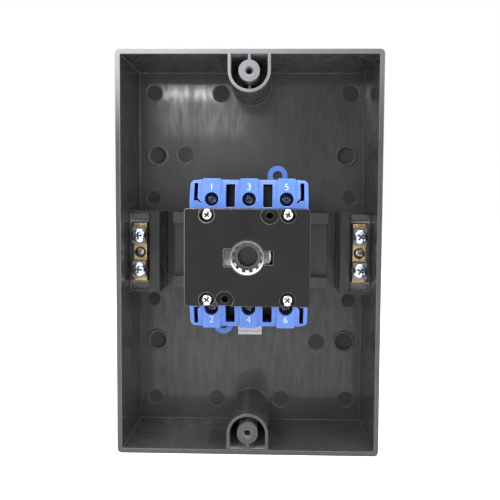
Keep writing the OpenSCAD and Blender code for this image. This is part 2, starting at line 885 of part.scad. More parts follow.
// Fixed contact: a tongue from the terminal, with an upturned tab and its tip
module fixed_contact(pole) {
    tongue_end = terminal_y + cage_half + over;
    color("#b87333") upright() translate([pole * pole_pitch, 0, tongue_back]) {
        block([-tongue_w / 2, tip_y - tab_half, 0], [tongue_w / 2, tongue_end, tongue_t]);
        block([0, tip_y - tab_half, 0], [tab_x + tab_t, tip_y + tab_half, tongue_t]);
        block([tab_x, tip_y - tab_half, 0], [tab_x + tab_t, tip_y + tab_half, tongue_t + blade_lift + blade_h]);
        translate([fixed_face, tip_y, tongue_t + blade_lift + blade_h / 2]) rotate([0, 90, 0])
            cylinder(h = tip_t, r = tip_r);
    }
}

module line_contact(pole) {
    fixed_contact(pole);
}

module load_contact(pole) {
    mirror([0, 0, 1]) fixed_contact(pole);
}

// Clamp cage that draws the wire up against the tongue
module clamp_cage(pole) {
    color("#c9ccd2") upright() translate([pole * pole_pitch, terminal_y, 0]) difference() {
        block([-cage_w / 2, -cage_half, cage_bottom - cage_bottom_t], [cage_w / 2, cage_half, cage_top]);
        block(
            [cage_wall - cage_w / 2, -cage_half - over, cage_bottom],
            [cage_w / 2 - cage_wall, cage_half + over, cage_top - cage_top_t]
        );
        translate([0, 0, cage_top - cage_top_t - over])
            cylinder(h = cage_top_t + 2 * over, r = term_screw_r);
    }
}

module line_clamp(pole) {
    clamp_cage(pole);
}

module load_clamp(pole) {
    mirror([0, 0, 1]) clamp_cage(pole);
}

module terminal_screws() {
    tip = tongue_back + tongue_t + tongue_gap;
    head_z = cage_top + term_lift;
    color("#d4d7dc") upright() at_poles() translate([0, terminal_y, head_z])
        pan_screw(term_head_r, term_head_h, term_screw_r - screw_play, head_z - tip);
}

module line_screws() {
    terminal_screws();
}

module load_screws() {
    mirror([0, 0, 1]) terminal_screws();
}

// Sliding latch behind the lower edge of the rail
module rail_latch() {
    top = -rail_w / 2 - seat_gap - fit_gap;
    tail = -body_half - latch_tail;
    peg_y = -body_half + peg_in;
    spring_top = peg_y + peg_len + spring_len;
    z1 = latch_back + latch_t;
    color("#dcd8d8") upright() difference() {
        union() {
            block([-latch_w / 2, tail, latch_back], [latch_w / 2, top, z1]);
            block([-latch_w / 2, top - over, latch_back], [latch_w / 2, top + hook_bite + fit_gap, hook_front]);
        }
        // Window of the latch spring and its peg
        block(
            [-window_w / 2, peg_y - fit_gap, latch_back - over],
            [window_w / 2, spring_top + screw_play, z1 + over]
        );
        // Groove for a screwdriver across the tail
        block(
            [-latch_w / 2 - over, tail + latch_groove_gap, z1 - latch_groove / 2],
            [latch_w / 2 + over, tail + latch_groove_gap + latch_groove, z1 + over]
        );
    }
}

// Points of one coil spring tube, ring after ring, along +y from the origin
function spring_point(i, k) = let(
    turn = 360 * i / spring_steps,
    side = 360 * k / spring_sides,
    rise = (spring_len - 2 * spring_wire_r) / (spring_turns * spring_steps),
    out = spring_coil_r + spring_wire_r * cos(side)
) [out * cos(turn), spring_wire_r + rise * i + spring_wire_r * sin(side), out * sin(turn)];

// Compression spring that holds the latch up against the rail
module latch_spring() {
    rings = spring_turns * spring_steps;
    peg_top = -body_half + peg_in + peg_len;
    points = [for (i = [0 : rings], k = [0 : spring_sides - 1]) spring_point(i, k)];
    walls = [
        for (i = [0 : rings - 1], k = [0 : spring_sides - 1])
            let(a = i * spring_sides + k, b = i * spring_sides + (k + 1) % spring_sides)
                each [[a, b, b + spring_sides], [a, b + spring_sides, a + spring_sides]]
    ];
    start_cap = [for (k = [1 : spring_sides - 2]) [0, k + 1, k]];
    last = rings * spring_sides;
    end_cap = [for (k = [1 : spring_sides - 2]) [last, last + k, last + k + 1]];
    color("#b8bbc0") upright() translate([0, peg_top, latch_back + latch_t / 2])
        polyhedron(points = points, faces = concat(walls, start_cap, end_cap));
}

base();
mounting_rail();
rail_screws();
terminal_bar_left();
terminal_bar_right();
bar_fixing_screws();
clamp_screws();
clamp_washers();
switch_base();
switch_housing();
housing_screws();
bearing_bridge();
rotor();
detent_spring_upper();
detent_spring_lower();
contact_carriage();
bridge_contact(-1);  // bridge_contact_1
bridge_contact(0);  // bridge_contact_2
bridge_contact(1);  // bridge_contact_3
contact_spring(-1);  // contact_spring_1
contact_spring(0);  // contact_spring_2
contact_spring(1);  // contact_spring_3
line_contact(-1);  // line_contact_1
line_contact(0);  // line_contact_2
line_contact(1);  // line_contact_3
load_contact(-1);  // load_contact_1
load_contact(0);  // load_contact_2
load_contact(1);  // load_contact_3
line_clamp(-1);  // line_clamp_1
line_clamp(0);  // line_clamp_2
line_clamp(1);  // line_clamp_3
load_clamp(-1);  // load_clamp_1
load_clamp(0);  // load_clamp_2
load_clamp(1);  // load_clamp_3
line_screws();
load_screws();
rail_latch();
latch_spring();
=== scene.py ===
"""Looks of an enclosed three-pole isolator switch, shown with its cover off.

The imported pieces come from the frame. Each sub-assembly is a class that holds its sizes in metres,
rounds or rebuilds its pieces and gives them their finish.
"""

import logging
import math
from dataclasses import dataclass
from enum import Enum

import bmesh
import bpy
from mathutils import Matrix, Vector


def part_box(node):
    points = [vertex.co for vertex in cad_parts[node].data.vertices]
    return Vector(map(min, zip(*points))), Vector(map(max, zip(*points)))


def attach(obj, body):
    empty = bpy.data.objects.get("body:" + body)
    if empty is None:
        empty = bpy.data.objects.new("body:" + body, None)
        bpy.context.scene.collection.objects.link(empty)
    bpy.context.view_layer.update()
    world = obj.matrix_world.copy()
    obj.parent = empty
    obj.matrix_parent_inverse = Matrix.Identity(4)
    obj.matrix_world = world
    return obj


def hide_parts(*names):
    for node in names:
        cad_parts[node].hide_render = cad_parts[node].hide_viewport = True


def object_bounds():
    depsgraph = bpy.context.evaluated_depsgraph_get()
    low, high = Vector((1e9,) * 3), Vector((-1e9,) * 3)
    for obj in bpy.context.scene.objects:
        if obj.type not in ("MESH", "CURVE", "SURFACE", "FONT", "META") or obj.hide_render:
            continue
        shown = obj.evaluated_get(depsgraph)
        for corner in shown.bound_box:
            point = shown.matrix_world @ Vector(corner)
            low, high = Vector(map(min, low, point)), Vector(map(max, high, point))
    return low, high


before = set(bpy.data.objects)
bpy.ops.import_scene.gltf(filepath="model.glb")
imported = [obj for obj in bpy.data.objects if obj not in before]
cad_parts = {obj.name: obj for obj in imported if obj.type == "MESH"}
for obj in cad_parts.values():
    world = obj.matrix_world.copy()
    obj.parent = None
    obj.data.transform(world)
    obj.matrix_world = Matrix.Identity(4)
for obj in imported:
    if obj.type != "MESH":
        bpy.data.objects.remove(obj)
CAD_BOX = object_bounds()

MM = 0.001
WHITE = (1.0, 1.0, 1.0, 1.0)
log = logging.getLogger("isolator")

Colour = tuple[float, float, float]
Span = tuple[float, float]
Fade = tuple[float, float, float]
Socket = bpy.types.NodeSocket
Value = Socket | float | str | tuple[float, ...]


def span(start: float, end: float) -> Span:
    """Returns a span in metres from two places in millimetres."""
    return start * MM, end * MM


class Body(Enum):
    """Bodies of the record that the finished pieces ride on."""

    ENCLOSURE = "enclosure"
    ROTOR = "turning_rotor"
    LATCH = "latch"


@dataclass(frozen=True)
class Region:
    """A box on each side of the middle, so that X and Z are distances from the middle."""

    x: Span
    y: Span
    z: Span

    def holds(self, place: Vector) -> bool:
        """Returns whether a point lies in the region."""
        parts = ((abs(place.x), self.x), (place.y, self.y), (abs(place.z), self.z))
        return all(low <= value <= high for value, (low, high) in parts)


@dataclass(frozen=True)
class Pattern:
    """One noise pattern: the width of its blotches, its finer layers and how it is stretched."""

    size: float
    layers: float
    stretch: tuple[float, float, float] = (1.0, 1.0, 1.0)


class NodeSheet:
    """Node tree with short methods that add and join nodes."""

    def __init__(self, tree: bpy.types.NodeTree) -> None:
        """Empties the tree and keeps it."""
        tree.nodes.clear()
        self.tree = tree

    def feed(self, socket: Socket, value: Value) -> None:
        """Links a value to a socket, or sets the socket where the value is a plain one.

        Args:
            socket: Input of a node.
            value: Output of another node, or a number, name, colour or vector.
        """
        if isinstance(value, Socket):
            self.tree.links.new(value, socket)
        else:
            socket.default_value = value

    def add(
        self, kind: str, inputs: dict[str | int, Value] | None = None, **settings: object
    ) -> bpy.types.Node:
        """Adds a node.

        Args:
            kind: Type of the node.
            inputs: Values of its inputs, by their names or places.
            **settings: Its other properties.

        Returns:
            The node.
        """
        node = self.tree.nodes.new(kind)
        for key, value in settings.items():
            setattr(node, key, value)
        for key, value in (inputs or {}).items():
            self.feed(node.inputs[key], value)
        return node

    def figure(self, operation: str, one: Value, other: Value = 0.0) -> Socket:
        """Returns the result of an operation, such as MULTIPLY, on one or two values."""
        return self.add("ShaderNodeMath", {0: one, 1: other}, operation=operation).outputs[0]

    def product(self, one: Value, other: Value) -> Socket:
        """Returns one value times another."""
        return self.figure("MULTIPLY", one, other)

    def remap(
        self, value: Socket, source: tuple[Value, Value], target: Span, **settings: object
    ) -> Socket:
        """Maps a value from one range to another.

        Args:
            value: The value.
            source: Range that it comes from.
            target: Range that it goes to.
            **settings: Other properties of the node.

        Returns:
            The mapped value.
        """
        names = ("Value", "From Min", "From Max", "To Min", "To Max")
        inputs = dict(zip(names, (value, *source, *target)))
        return self.add("ShaderNodeMapRange", inputs, **settings).outputs["Result"]

    def seen_directly(self) -> Socket:
        """Adds a mask that is 1 to camera, glossy and transmission rays, and 0 to the rest.

        Returns:
            The mask.
        """
        path = self.add("ShaderNodeLightPath").outputs
        mask = self.figure("MAXIMUM", path["Is Camera Ray"], path["Is Glossy Ray"])
        return self.figure("MAXIMUM", mask, path["Is Transmission Ray"])


class MaterialSheet(NodeSheet):
    """Node tree of one material, with short methods for what the finishes use.

    A mix node's ends and result go by their places, because its sockets share their names.
    """

    NOISE_SPAN = (0.3, 0.7)
    MASK_FADE = 0.1 * MM
    NUMBER_ENDS = (2, 3)
    NUMBER_RESULT = 0
    COLOUR_ENDS = (6, 7)
    COLOUR_RESULT = 2

    def __init__(self, name: str) -> None:
        """Starts an empty material with a shader and an output.

        Args:
            name: Name of the material.
        """
        self.material = bpy.data.materials.new(name)
        self.material.use_nodes = True
        super().__init__(self.material.node_tree)
        self.shader = self.add("ShaderNodeBsdfPrincipled")
        self.add("ShaderNodeOutputMaterial", {"Surface": self.shader.outputs["BSDF"]})
        self.place = self.add("ShaderNodeTexCoord").outputs["Object"]

    def finish(self, inputs: dict[str, Value]) -> bpy.types.Material:
        """Feeds the shader.

        Args:
            inputs: Values of the shader's inputs, by their names.

        Returns:
            The finished material.
        """
        for name, value in inputs.items():
            self.feed(self.shader.inputs[name], value)
        return self.material

    def noise(self, pattern: Pattern) -> Socket:
        """Adds a noise texture.

        Args:
            pattern: Its size, layers and stretch.

        Returns:
            The noise value, mostly within NOISE_SPAN.
        """
        place = self.add("ShaderNodeMapping", {"Vector": self.place, "Scale": pattern.stretch})
        inputs = {"Vector": place.outputs[0], "Scale": 1.0 / pattern.size, "Detail": pattern.layers}
        return self.add("ShaderNodeTexNoise", inputs).outputs["Fac"]

    def spread(self, value: Socket, low: float, high: float) -> Socket:
        """Returns a noise value, spread over the range from low to high."""
        return self.remap(value, self.NOISE_SPAN, (low, high))

    def about(self, value: Socket, middle: float, reach: float) -> Socket:
        """Returns a noise value, spread over a reach on both sides of a middle."""
        return self.spread(value, middle - reach, middle + reach)

    def tint(self, value: Socket, dark: Colour, light: Colour) -> Socket:
        """Turns a noise value into a colour.

        Args:
            value: The noise value.
            dark: Colour where it is low.
            light: Colour where it is high.

        Returns:
            The colour.
        """
        node = self.add("ShaderNodeValToRGB", {"Fac": value})
        for stop, position, colour in zip(node.color_ramp.elements, self.NOISE_SPAN, (dark, light)):
            stop.position = position
            stop.color = (*colour, 1.0)
        return node.outputs["Color"]

    def relief(self, height: Socket, depth: float, under: Socket | None = None) -> Socket:
        """Adds a bump.

        Args:
            height: Value that the surface follows.
            depth: Height of the bump in metres.
            under: Normal of a coarser relief below it.

        Returns:
            The bumped normal.
        """
        node = self.add("ShaderNodeBump", {"Height": height, "Strength": 1.0, "Distance": depth})
        if under is not None:
            self.feed(node.inputs["Normal"], under)
        return node.outputs["Normal"]

    def ramp(self, value: Socket, start: float, end: float, low: float = 0.0) -> Socket:
        """Returns a mask that goes from low to 1 while the value goes from start to end."""
        return self.remap(value, (start, end), (low, 1.0), interpolation_type="SMOOTHSTEP")

    def level(self, axis: str, start: float, end: float, low: float = 0.0) -> Socket:
        """Adds a mask that rises between two levels of one axis.

        Args:
            axis: X, Y or Z.
            start: Level in metres where it is low.
            end: Level in metres where it is 1.
            low: Its least value.

        Returns:
            The mask.
        """
        split = self.add("ShaderNodeSeparateXYZ", {0: self.place})
        return self.ramp(split.outputs[axis], start, end, low)

    def faded(self, x: Fade, z: Fade) -> Socket:
        """Returns a mask that fades along X and Z, each by its start, end and least value."""
        return self.product(self.level("Z", *z), self.level("X", *x))

    def within(self, value: Socket, low: float, high: float) -> Socket:
        """Returns a mask that is 1 where the value lies between low and high."""
        rise = self.ramp(value, low, low + self.MASK_FADE)
        return self.product(rise, self.ramp(value, high, high - self.MASK_FADE))

    def axes(self) -> tuple[Socket, Socket, Socket]:
        """Returns the object's X, Y and Z, with X and Z as distances from the middle."""
        x, y, z = self.add("ShaderNodeSeparateXYZ", {0: self.place}).outputs
        return self.figure("ABSOLUTE", x), y, self.figure("ABSOLUTE", z)

    def inside(self, region: Region, across: Socket | None = None) -> Socket:
        """Adds a mask that is 1 inside a region.

        Args:
            region: The region.
            across: Value that takes the place of X, if any.

        Returns:
            The mask.
        """
        x, y, z = self.axes()
        mask = self.product(self.within(across or x, *region.x), self.within(y, *region.y))
        return self.product(mask, self.within(z, *region.z))

    def mixed(self, share: Socket, under: Socket, over: float) -> Socket:
        """Returns a number that goes over to a fixed one by a share."""
        inputs = {"Factor": share, **dict(zip(self.NUMBER_ENDS, (under, over)))}
        return self.add("ShaderNodeMix", inputs).outputs[self.NUMBER_RESULT]

    def blend(self, share: Socket, under: Socket, over: Colour) -> Socket:
        """Returns a colour that goes over to a fixed one by a share."""
        inputs = {"Factor": share, **dict(zip(self.COLOUR_ENDS, (under, (*over, 1.0))))}
        return self.add("ShaderNodeMix", inputs, data_type="RGBA").outputs[self.COLOUR_RESULT]

    def attribute(self, name: str) -> Socket:
        """Returns a value that is stored on the mesh."""
        return self.add("ShaderNodeAttribute", attribute_name=name).outputs["Fac"]


def shade(colour: Colour, share: float) -> Colour:
    """Returns the colour made darker or lighter by a share."""
    return tuple(part * share for part in colour)


@dataclass(frozen=True)
class Plastic:
    """Moulded plastic with a faint orange peel, flow streaks and a clear film, with painted highlights on
    its edges and rim and painted shade in its depths.
    """

    name: str
    colour: Colour
    roughness: float = 0.35
    rough_spread: float = 0.08
    specular: float = 0.5
    mottle: float = 0.12
    blotch: Pattern = Pattern(14 * MM, 4.0)
    streak: Pattern = Pattern(14 / 3 * MM, 3.0, (1.0, 1.0, 0.12))
    peel: Pattern = Pattern(0.9 * MM, 2.0)
    peel_depth: float = 0.006 * MM
    grain: Pattern = Pattern(0.12 * MM, 1.0)
    grain_depth: float = 0.0015 * MM
    # Painted highlight on the frontmost parts, with its level, fade, noise breakup and fades along X and
    # Z.
    rim_highlight: Colour | None = None
    rim_highlight_level: float = -44.2 * MM
    rim_highlight_fade: float = 0.1 * MM
    rim_highlight_x: Fade = (*span(60, -60), 0.25)
    rim_highlight_z: Fade = (*span(45, 84), 0.05)
    rim_highlight_breakup: Pattern = Pattern(0.5 * MM, 4.0)
    rim_highlight_least: float = 0.75
    # Painted highlight on the rounded edges, stronger towards the top left where the light falls.
    edge_highlight: Colour | None = None
    edge_highlight_x: Fade = (*span(60, -60), 0.5)
    edge_highlight_z: Fade = (*span(-90, 85), 0.5)
    edge_highlight_breakup: Pattern = Pattern(1.5 * MM, 4.0)
    edge_highlight_least: float = 0.4
    # Painted shade in the deep parts, between two levels along Y and away from the ends along Z.
    deep: Colour | None = None
    deep_levels: Span = span(-34, -20)
    deep_reach: float = 31.2 * MM
    deep_fade: float = 0.5 * MM
    pit_level: float | None = None
    pit_fade: float = 0.05 * MM
    pit_roughness: float = 0.6
    coat: float = 0.0
    coat_roughness: float = 0.07
    film: Pattern = Pattern(14 / 8 * MM, 5.0, (1.0, 1.0, 0.25))
    film_least: float = 0.25

    def laid_over(self, sheet: MaterialSheet, colour: Socket) -> Socket:
        """Returns the colour with what lies over it, which is nothing on plain plastic."""
        return colour

    def base_colour(self, sheet: MaterialSheet) -> Socket:
        """Adds the mottled colour with painted highlights on its rounded edges and rim and painted shade
        in its depths.

        Args:
            sheet: The material's nodes.

        Returns:
            The colour.
        """
        ends = (shade(self.colour, 1 - self.mottle), shade(self.colour, 1 + self.mottle))
        colour = sheet.tint(sheet.noise(self.blotch), *ends)
        # Painted highlight along the rounded edges, broken up by noise and faded along X and Z towards
        # where the light falls.
        if self.edge_highlight is not None:
            edge_spots = sheet.spread(sheet.noise(self.edge_highlight_breakup), self.edge_highlight_least, 1.0)
            edge_spots = sheet.product(sheet.attribute("edge"), edge_spots)
            share = sheet.product(edge_spots, sheet.faded(self.edge_highlight_x, self.edge_highlight_z))
            colour = sheet.blend(share, colour, self.edge_highlight)
        # Painted highlight on the frontmost parts, the enclosure's rim and the lower part of the rotor's
        # cup, brightest where the light falls.
        if self.rim_highlight is not None:
            front = sheet.level("Y", self.rim_highlight_level, self.rim_highlight_level - self.rim_highlight_fade)
            rim_spots = sheet.spread(sheet.noise(self.rim_highlight_breakup), self.rim_highlight_least, 1.0)
            share = sheet.product(sheet.product(front, rim_spots), sheet.faded(self.rim_highlight_x, self.rim_highlight_z))
            colour = sheet.blend(share, colour, self.rim_highlight)
        # Painted shade in the deep parts: the body's slots and the bottom of the rotor's bore.
        if self.deep is not None:
            share = sheet.level("Y", *self.deep_levels)
            for sign in (-1, 1):
                fade = (sign * self.deep_reach, sign * (self.deep_reach - self.deep_fade))
                share = sheet.product(share, sheet.level("Z", *fade))
            colour = sheet.blend(share, colour, self.deep)
        return self.laid_over(sheet, colour)

    def gloss(self, sheet: MaterialSheet) -> dict[str, Value]:
        """Adds the roughness with its flow streaks and the film, which the pits are without.

        Args:
            sheet: The material's nodes.

        Returns:
            Values of the shader's inputs, by their names.
        """
        rough = sheet.about(sheet.noise(self.streak), self.roughness, self.rough_spread)
        film = sheet.spread(sheet.noise(self.film), self.film_least, 1.0)
        film = sheet.product(film, self.coat)
        if self.pit_level is not None:
            pits = sheet.level("Y", self.pit_level, self.pit_level + self.pit_fade)
            rough = sheet.mixed(pits, rough, self.pit_roughness)
            film = sheet.mixed(pits, film, 0.0)
        return {"Roughness": rough, "Coat Weight": film, "Coat Roughness": self.coat_roughness}

    def build(self) -> bpy.types.Material:
        """Builds the material.

        Returns:
            The material.
        """
        sheet = MaterialSheet(self.name)
        relief = sheet.relief(sheet.noise(self.peel), self.peel_depth)
        if self.grain_depth > 0:
            relief = sheet.relief(sheet.noise(self.grain), self.grain_depth, relief)
        inputs = {"Base Color": self.base_colour(sheet), "Normal": relief, **self.gloss(sheet)}
        return sheet.finish({**inputs, "Specular IOR Level": self.specular})


@dataclass(frozen=True)
class BasePlastic(Plastic):
    """Plastic of the base, with painted light inside its wells and pockets and a darker colour on its
    pedestal fronts.
    """

    # Painted light inside the wells and pockets, then the darker colour of the pedestal fronts.
    pale: Colour = (0.3, 0.3, 0.31)
    front_dark: Colour = (0.016, 0.0155, 0.017)
    post_place: float = 77.2 * MM
    well: Region = Region(span(-8.3, 8.3), span(-44, -2.6), span(0, 84.8))
    pocket: Region = Region(span(41.3, 54.9), span(-27.2, -19.4), span(-17.3, 17.3))
    pedestal_front: Region = Region(span(40, 54), span(-27.7, -27.2), span(-18.4, 18.4))

    def laid_over(self, sheet: MaterialSheet, colour: Socket) -> Socket:
        """Lays the darker colour of the pedestal fronts and the painted light of the wells and pockets
        over the colour.

        Args:
            sheet: The material's nodes.
            colour: Colour of the plastic elsewhere.

        Returns:
            The whole colour.
        """
        x, _, z = sheet.axes()
        past = sheet.figure("MINIMUM", sheet.figure("SUBTRACT", z, self.post_place), 0.0)
        square = sheet.figure("ADD", sheet.product(x, x), sheet.product(past, past))
        well = sheet.inside(self.well, sheet.figure("SQRT", square))
        # Darker colour on the pedestal fronts.
        colour = sheet.blend(sheet.inside(self.pedestal_front), colour, self.front_dark)
        # Painted light that lifts the shade inside the wells and pockets.
        return sheet.blend(sheet.figure("MAXIMUM", well, sheet.inside(self.pocket)), colour, self.pale)


@dataclass(frozen=True)
class Metal:
    """Bare or plated metal with drawn lines and stains, and with painted shade where it is sunk."""

    name: str
    colour: Colour
    roughness: float = 0.25
    rough_spread: float = 0.08
    stain: float = 0.15
    light_parts: float = 3.0
    blotch: float = 3 * MM
    blotch_layers: float = 5.0
    line: Pattern = Pattern(0.09 * MM, 2.0, (1.0, 1.0, 0.08))
    line_depth: float = 0.002 * MM
    sunk: float | None = None
    # Painted shade where the screw is sunk: its fade and how dark it gets.
    recess_shade_fade: float = 0.15
    recess_shade_share: float = 0.08

    def build(self) -> bpy.types.Material:
        """Builds the material.

        Returns:
            The material.
        """
        sheet = MaterialSheet(self.name)
        ends = (shade(self.colour, 1 - self.stain), shade(self.colour, 1 + self.stain / self.light_parts))
        colour = sheet.tint(sheet.noise(Pattern(self.blotch, self.blotch_layers)), *ends)
        # Painted shade in the recesses and below the top of the head, rising with how deep the point is
        # sunk.
        if self.sunk is not None:
            recess_shade = sheet.ramp(sheet.attribute("sunk"), self.sunk, self.sunk + self.recess_shade_fade)
            colour = sheet.blend(recess_shade, colour, shade(self.colour, self.recess_shade_share))
        lines = sheet.noise(self.line)
        return sheet.finish({
            "Base Color": colour,
            "Roughness": sheet.about(lines, self.roughness, self.rough_spread),
            "Normal": sheet.relief(lines, self.line_depth),
            "Metallic": 1.0,
        })


class Finishes:
    """All finishes of the switch, each built once."""

    def __init__(self) -> None:
        """Builds every material."""
        black = (0.046, 0.045, 0.047)
        # Several finishes below carry painted highlights on their edges and rim, painted shade in their
        # depths and, on the screws, painted shade where they are sunk.
        self.enclosure = BasePlastic(
            "enclosure_black", black, roughness=0.24, rough_spread=0.06, specular=0.2,
            peel_depth=0.0006 * MM, grain_depth=0.0, coat=0.4, pit_level=-2.32 * MM,
            rim_highlight=(0.34, 0.34, 0.36), edge_highlight=(0.16, 0.16, 0.165),
        ).build()
        self.rail = Plastic(
            "rail_black", black, roughness=0.3, specular=0.4, peel=Pattern(0.4 * MM, 2.0),
            edge_highlight=(0.2, 0.2, 0.2),
        ).build()
        self.body = Plastic(
            "body_blue", (0.09, 0.2, 0.62), roughness=0.36, mottle=0.07, deep=(0.004, 0.006, 0.016),
            edge_highlight=(0.25, 0.42, 0.85),
        ).build()
        self.housing = Plastic(
            "housing_black", (0.009, 0.0085, 0.0085), roughness=0.36, specular=0.17,
            grain_depth=0.004 * MM, edge_highlight=(0.3, 0.29, 0.29), edge_highlight_x=(*span(30, -32), 0.2),
            edge_highlight_z=(*span(-30, 25), 0.5),
        ).build()
        # The rotor has a painted highlight on the lower part of its cup and painted shade at the bottom
        # of its bore.
        self.rotor = Plastic(
            "rotor_grey", (0.135, 0.135, 0.14), roughness=0.42, deep=(0.01, 0.01, 0.01),
            deep_levels=span(-50.35, -49.9), rim_highlight=(0.85, 0.85, 0.87), rim_highlight_level=-54.4 * MM,
            rim_highlight_x=(*span(10, -10), 1.0), rim_highlight_z=(*span(0.5, -5), 0.0),
        ).build()
        self.latch = Plastic("latch_white", (0.62, 0.58, 0.61), roughness=0.5).build()
        self.carriage = Plastic("carriage_cream", (0.66, 0.6, 0.46), roughness=0.5).build()
        self.number = Plastic("number_white", (0.7, 0.76, 0.9), roughness=0.55, mottle=0.05).build()
        self.nickel = Metal(
            "nickel_bright", (0.72, 0.7, 0.68), roughness=0.22, stain=0.12, blotch=1 * MM, sunk=0.5
        ).build()
        self.zinc_head = Metal(
            "zinc_head", (0.68, 0.73, 0.82), roughness=0.2, stain=0.4, blotch=1.1 * MM, sunk=0.5
        ).build()
        self.zinc = Metal("zinc_plating", (0.16, 0.17, 0.2), stain=0.5, blotch=1 * MM).build()
        self.terminal = Metal(
            "terminal_zinc", (0.36, 0.36, 0.38), roughness=0.36, stain=0.5, blotch=0.8 * MM, sunk=0.5
        ).build()
        # The clamps are darkened as painted shade, since they sit deep in the terminal holes.
        self.clamp = Metal("clamp_steel", (0.035, 0.035, 0.04), roughness=0.5, stain=0.3).build()
        self.brass = Metal(
            "bar_brass", (0.36, 0.26, 0.14), roughness=0.28, stain=0.55, blotch=1.6 * MM
        ).build()
        self.spring = Metal("spring_steel", (0.6, 0.61, 0.63), roughness=0.28).build()
        self.copper = Metal("contact_copper", (0.62, 0.32, 0.19), roughness=0.32).build()


def finish_mesh(mesh: bpy.types.Mesh, material: bpy.types.Material, crease: float = 35.0) -> None:
    """Gives a mesh its material and smooth shading that breaks at its edges.

    Args:
        mesh: The mesh.
        material: Its only material.
        crease: Edges sharper than this, in degrees, stay sharp.
    """
    mesh.materials.clear()
    mesh.materials.append(material)
    mesh.polygons.foreach_set("material_index", [0] * len(mesh.polygons))
    mesh.polygons.foreach_set("use_smooth", [True] * len(mesh.polygons))
    mesh.set_sharp_from_angle(angle=math.radians(crease))
    mesh.update()


def new_piece(name: str, data: bpy.types.ID) -> bpy.types.Object:
    """Puts a new object into the scene.

    Args:
        name: Its name.
        data: The mesh, curve, lamp or camera that it shows.

    Returns:
        The object, at the origin.
    """
    piece = bpy.data.objects.new(name, data)
    bpy.context.scene.collection.objects.link(piece)
    return piece


def baked(piece: bpy.types.Object) -> bpy.types.Mesh:
    """Returns the plain mesh of a piece as its modifiers leave it."""
    view = bpy.context.evaluated_depsgraph_get()
    view.update()
    return bpy.data.meshes.new_from_object(piece.evaluated_get(view))


def bake_modifiers(piece: bpy.types.Object) -> None:
    """Turns a piece and its modifiers into a plain mesh."""
    mesh = baked(piece)
    piece.modifiers.clear()
    piece.data = mesh


def modify(piece: bpy.types.Object, kind: str, **settings: object) -> None:
    """Runs one modifier on a piece.

    Args:
        piece: The piece, a plain mesh before and after it.
        kind: Type of the modifier.
        **settings: Its properties.
    """
    modifier = piece.modifiers.new(kind.lower(), kind)
    for key, value in settings.items():
        setattr(modifier, key, value)
    bake_modifiers(piece)


def stand_in(piece: bpy.types.Object, body: Body, slot: str, *nodes: str) -> None:
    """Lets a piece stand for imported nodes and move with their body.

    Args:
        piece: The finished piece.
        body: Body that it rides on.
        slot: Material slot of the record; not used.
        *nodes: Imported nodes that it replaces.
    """
    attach(piece, body.value)
    if nodes:
        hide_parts(*nodes)
    log.info("%s rides on %s and stands for %s", piece.name, body.value, ", ".join(nodes) or "nothing")


def dress(node: str, material: bpy.types.Material) -> None:
    """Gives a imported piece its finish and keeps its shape.

    Args:
        node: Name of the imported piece.
        material: Its finish.
    """
    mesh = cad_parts[node].data
    mesh.materials.clear()
    mesh.materials.append(material)
    log.info("%s keeps its shape and has finish %s", node, material.name)


@dataclass
class SoftPiece:
    """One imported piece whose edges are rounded. Its angles are in degrees."""

    node: str
    body: Body
    slot: str
    width: float
    narrow: tuple[Region, ...] = ()
    weld: float = 0.002 * MM
    flat: float = 0.4
    sharp: float = 40.0
    crease: float = 50.0
    steps: int = 2
    face_weight: int = 100

    def weighted(self) -> bpy.types.Mesh:
        """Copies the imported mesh, joins its flat faces and marks the edges to be rounded.

        Edges in a narrow region stay sharp, because their rounding wouldn't fit on the ledge.

        Returns:
            The copy.
        """
        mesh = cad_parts[self.node].data.copy()
        shape = bmesh.new()
        shape.from_mesh(mesh)
        bmesh.ops.remove_doubles(shape, verts=shape.verts, dist=self.weld)
        bmesh.ops.dissolve_limit(
            shape, angle_limit=math.radians(self.flat), verts=shape.verts, edges=shape.edges,
            use_dissolve_boundaries=False,
        )
        shape.normal_update()
        weight = shape.edges.layers.float.new("bevel_weight_edge")
        for edge in shape.edges:
            middle = (edge.verts[0].co + edge.verts[1].co) / 2
            sharp = edge.is_manifold and edge.calc_face_angle() > math.radians(self.sharp)
            edge[weight] = float(sharp and not any(region.holds(middle) for region in self.narrow))
        shape.to_mesh(mesh)
        shape.free()
        return mesh

    def build(self, material: bpy.types.Material) -> None:
        """Builds the rounded piece, with each face's share in a rounded edge stored as "edge".

        Args:
            material: Its finish.
        """
        mesh = self.weighted()
        mesh.polygons.foreach_set("material_index", [0] * len(mesh.polygons))
        mesh.materials.clear()
        for _ in ("flat faces", "rounded edges"):
            mesh.materials.append(material)
        piece = new_piece(f"{self.node}_finished", mesh)
        modify(
            piece, "BEVEL", material=1, width=self.width, segments=self.steps, limit_method="WEIGHT",
            use_clamp_overlap=False, miter_outer="MITER_ARC",
        )
        rounded = [float(face.material_index) for face in piece.data.polygons]
        piece.data.attributes.new("edge", "FLOAT", "FACE").data.foreach_set("value", rounded)
        finish_mesh(piece.data, material, self.crease)
        modify(piece, "WEIGHTED_NORMAL", keep_sharp=True, weight=self.face_weight)
        stand_in(piece, self.body, self.slot, self.node)


